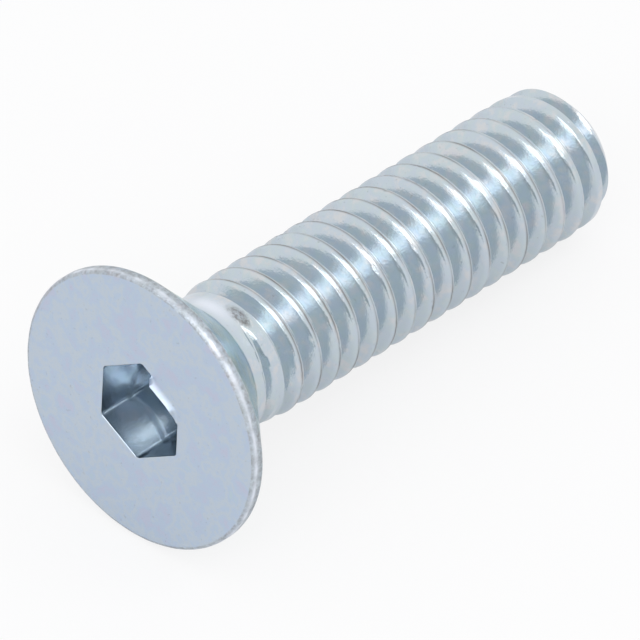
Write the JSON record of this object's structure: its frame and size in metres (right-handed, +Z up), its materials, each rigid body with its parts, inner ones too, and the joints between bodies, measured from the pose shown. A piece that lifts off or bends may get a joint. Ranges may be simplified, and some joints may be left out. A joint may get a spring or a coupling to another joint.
{
  "type": "countersunk socket screw",
  "caption": "Countersunk machine screw with a flat head, a hexagon socket and a coarse metric thread up to a short plain neck, lying at rest.",
  "frame": {"origin": "the middle of the footprint, on the surface that the screw lies on", "axes": "+Z up; the screw's axis lies in the YZ plane, head toward -Y, and drops 7.1 degrees toward the end of the thread at +Y"},
  "size_m": [0.0076, 0.0164, 0.0076],
  "materials": {
    "zinc": "bright zinc plate, blue passivated"
  },
  "bodies": {
    "root": {"screw": "zinc"}
  },
  "joints": []
}
